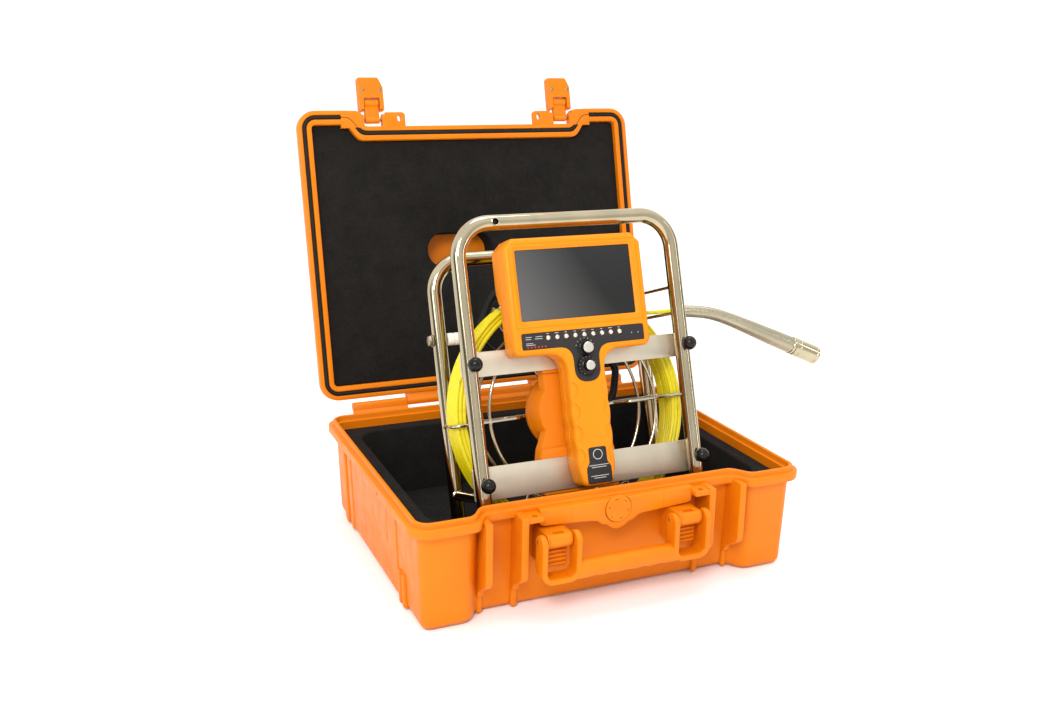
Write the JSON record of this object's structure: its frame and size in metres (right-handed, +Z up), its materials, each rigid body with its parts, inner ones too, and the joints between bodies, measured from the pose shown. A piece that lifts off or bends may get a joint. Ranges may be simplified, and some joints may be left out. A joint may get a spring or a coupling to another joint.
{
  "type": "push-rod inspection camera kit",
  "caption": "Moulded carry case with an open lid holding a leaning tube rack, a wire reel of push rod with a camera head, and a handset with a screen.",
  "frame": {"origin": "on the table under the middle of the case's rim", "axes": "+Z up, +X to the right as seen from the handle side, +Y towards the hinge"},
  "size_m": [0.6533, 0.5856, 0.5959],
  "materials": {
    "case_plastic": "fine satin moulded",
    "handset_plastic": "fine satin moulded",
    "foam": "closed-cell foam",
    "seal_rubber": "soft matte",
    "pin_steel": "drawn",
    "tube_steel": "polished stainless",
    "wire_steel": "bright drawn wire",
    "plate_aluminium": "fine brushed, anodised",
    "knob_black": "gloss phenolic",
    "nylon_white": "satin nylon",
    "rod_yellow": "satin extruded jacket",
    "spring_steel": "close wound wire",
    "head_steel": "turned, fine",
    "lens_glass": "clear sapphire over a dark barrel",
    "screen_glass": "semi-gloss display glass",
    "panel_film": "textured overlay film",
    "button_silver": "bright plated",
    "dial_silver": "turned, spun face",
    "dial_black": "satin",
    "cable_black": "satin jacket"
  },
  "bodies": {
    "case": {"case_base": "case_plastic", "base_foam": "foam", "hinge_pin": "pin_steel", "handle_pin_l": "pin_steel", "handle_pin_r": "pin_steel"},
    "purge": {"purge_valve": "case_plastic"},
    "handle": {"carry_handle": "case_plastic"},
    "lid": {"case_lid": "case_plastic", "lid_gasket": "seal_rubber", "lid_foam": "foam", "latch_link_pin_l": "pin_steel", "latch_link_pin_r": "pin_steel"},
    "rack": {"front_hoop": "tube_steel", "rear_hoop": "tube_steel", "cross_tube_l": "tube_steel", "cross_tube_r": "tube_steel", "rod_guide_loop": "wire_steel", "upper_plate": "plate_aluminium", "lower_plate": "plate_aluminium", "hub_housing": "case_plastic", "slip_ring": "knob_black", "reel_axle": "pin_steel", "axle_nut": "pin_steel", "rod_tail": "rod_yellow", "flex_spring": "spring_steel", "camera_head": "head_steel", "camera_window": "lens_glass", "handset_front": "handset_plastic", "handset_rear": "handset_plastic", "screen_glass": "screen_glass", "control_panel": "panel_film", "signal_cable": "cable_black"},
    "reel": {"reel_hub": "case_plastic", "reel_front_flange": "wire_steel", "reel_rear_flange": "wire_steel", "rod_winding": "rod_yellow"},
    "brake": {"brake_bolt": "pin_steel", "brake_bush": "nylon_white"},
    "dial_upper": {"knob_upper": "dial_silver"},
    "dial_lower": {"knob_lower": "dial_black"},
    "latch_link_l": {"latch_link_l": "case_plastic", "latch_lever_pin_l": "pin_steel"},
    "latch_lever_l": {"latch_lever_l": "case_plastic"},
    "ball_knob_upper_l": {"ball_knob_upper_l": "knob_black"},
    "ball_knob_lower_l": {"ball_knob_lower_l": "knob_black"},
    "latch_link_r": {"latch_link_r": "case_plastic", "latch_lever_pin_r": "pin_steel"},
    "latch_lever_r": {"latch_lever_r": "case_plastic"},
    "ball_knob_upper_r": {"ball_knob_upper_r": "knob_black"},
    "ball_knob_lower_r": {"ball_knob_lower_r": "knob_black"},
    "button_1": {"button_1": "button_silver"},
    "button_2": {"button_2": "button_silver"},
    "button_3": {"button_3": "button_silver"},
    "button_4": {"button_4": "button_silver"},
    "button_5": {"button_5": "button_silver"},
    "button_6": {"button_6": "button_silver"},
    "button_7": {"button_7": "button_silver"},
    "button_8": {"button_8": "button_silver"},
    "button_9": {"button_9": "button_silver"}
  },
  "joints": [
    {"name": "lid_hinge", "type": "hinge", "parent": "case", "child": "lid", "pos_m": [0, 0.2162, 0.1421], "axis": [-1, 0, 0], "range_deg": [-45, 0]},
    {"name": "handle_swing", "type": "hinge", "parent": "case", "child": "handle", "pos_m": [0, -0.207, 0.099], "axis": [-1, 0, 0], "range_deg": [0, 95]},
    {"name": "purge_turn", "type": "hinge", "parent": "case", "child": "purge", "pos_m": [0, -0.19, 0.117], "axis": [0, -1, 0], "range_deg": [0, 180]},
    {"name": "rack_lift", "type": "slide", "parent": "case", "child": "rack", "axis": [0, 0, 1], "range_m": [0, 0.3]},
    {"name": "reel_spin", "type": "hinge", "parent": "rack", "child": "reel", "pos_m": [-0.0015, -0.05402, 0.19731], "axis": [0, 0.9494, -0.314], "continuous": true},
    {"name": "brake_turn", "type": "hinge", "parent": "rack", "child": "brake", "pos_m": [-0.1415, 0.03053, 0.28099], "axis": [1, 0, 0], "range_deg": [0, 360]},
    {"name": "dial_upper_turn", "type": "hinge", "parent": "rack", "child": "dial_upper", "pos_m": [-0.005, -0.10453, 0.293], "axis": [0, 0.9494, -0.314], "range_deg": [-150, 150]},
    {"name": "dial_lower_turn", "type": "hinge", "parent": "rack", "child": "dial_lower", "pos_m": [-0.006, -0.11144, 0.27212], "axis": [0, 0.9494, -0.314], "range_deg": [-150, 150]},
    {"name": "latch_link_l_swing", "type": "hinge", "parent": "lid", "child": "latch_link_l", "pos_m": [-0.1485, 0.32067, 0.53673], "axis": [1, 0, 0], "range_deg": [0, 90]},
    {"name": "latch_lever_l_swing", "type": "hinge", "parent": "latch_link_l", "child": "latch_lever_l", "pos_m": [-0.1485, 0.32654, 0.56001], "axis": [1, 0, 0], "range_deg": [0, 90]},
    {"name": "ball_knob_upper_l_turn", "type": "hinge", "parent": "rack", "child": "ball_knob_upper_l", "pos_m": [-0.1465, -0.09438, 0.28227], "axis": [0, 0.9494, -0.314], "range_deg": [0, 360]},
    {"name": "ball_knob_lower_l_turn", "type": "hinge", "parent": "rack", "child": "ball_knob_lower_l", "pos_m": [-0.1465, -0.13928, 0.14651], "axis": [0, 0.9494, -0.314], "range_deg": [0, 360]},
    {"name": "latch_link_r_swing", "type": "hinge", "parent": "lid", "child": "latch_link_r", "pos_m": [0.1485, 0.32067, 0.53673], "axis": [1, 0, 0], "range_deg": [0, 90]},
    {"name": "latch_lever_r_swing", "type": "hinge", "parent": "latch_link_r", "child": "latch_lever_r", "pos_m": [0.1485, 0.32654, 0.56001], "axis": [1, 0, 0], "range_deg": [0, 90]},
    {"name": "ball_knob_upper_r_turn", "type": "hinge", "parent": "rack", "child": "ball_knob_upper_r", "pos_m": [0.1435, -0.09438, 0.28227], "axis": [0, 0.9494, -0.314], "range_deg": [0, 360]},
    {"name": "ball_knob_lower_r_turn", "type": "hinge", "parent": "rack", "child": "ball_knob_lower_r", "pos_m": [0.1435, -0.13928, 0.14651], "axis": [0, 0.9494, -0.314], "range_deg": [0, 360]},
    {"name": "button_1_press", "type": "slide", "parent": "rack", "child": "button_1", "axis": [0, 0.9494, -0.314], "range_m": [0, 0.001], "stiffness_N_per_m": 600},
    {"name": "button_2_press", "type": "slide", "parent": "rack", "child": "button_2", "axis": [0, 0.9494, -0.314], "range_m": [0, 0.001], "stiffness_N_per_m": 600},
    {"name": "button_3_press", "type": "slide", "parent": "rack", "child": "button_3", "axis": [0, 0.9494, -0.314], "range_m": [0, 0.001], "stiffness_N_per_m": 600},
    {"name": "button_4_press", "type": "slide", "parent": "rack", "child": "button_4", "axis": [0, 0.9494, -0.314], "range_m": [0, 0.001], "stiffness_N_per_m": 600},
    {"name": "button_5_press", "type": "slide", "parent": "rack", "child": "button_5", "axis": [0, 0.9494, -0.314], "range_m": [0, 0.001], "stiffness_N_per_m": 600},
    {"name": "button_6_press", "type": "slide", "parent": "rack", "child": "button_6", "axis": [0, 0.9494, -0.314], "range_m": [0, 0.001], "stiffness_N_per_m": 600},
    {"name": "button_7_press", "type": "slide", "parent": "rack", "child": "button_7", "axis": [0, 0.9494, -0.314], "range_m": [0, 0.001], "stiffness_N_per_m": 600},
    {"name": "button_8_press", "type": "slide", "parent": "rack", "child": "button_8", "axis": [0, 0.9494, -0.314], "range_m": [0, 0.001], "stiffness_N_per_m": 600},
    {"name": "button_9_press", "type": "slide", "parent": "rack", "child": "button_9", "axis": [0, 0.9494, -0.314], "range_m": [0, 0.001], "stiffness_N_per_m": 600}
  ]
}
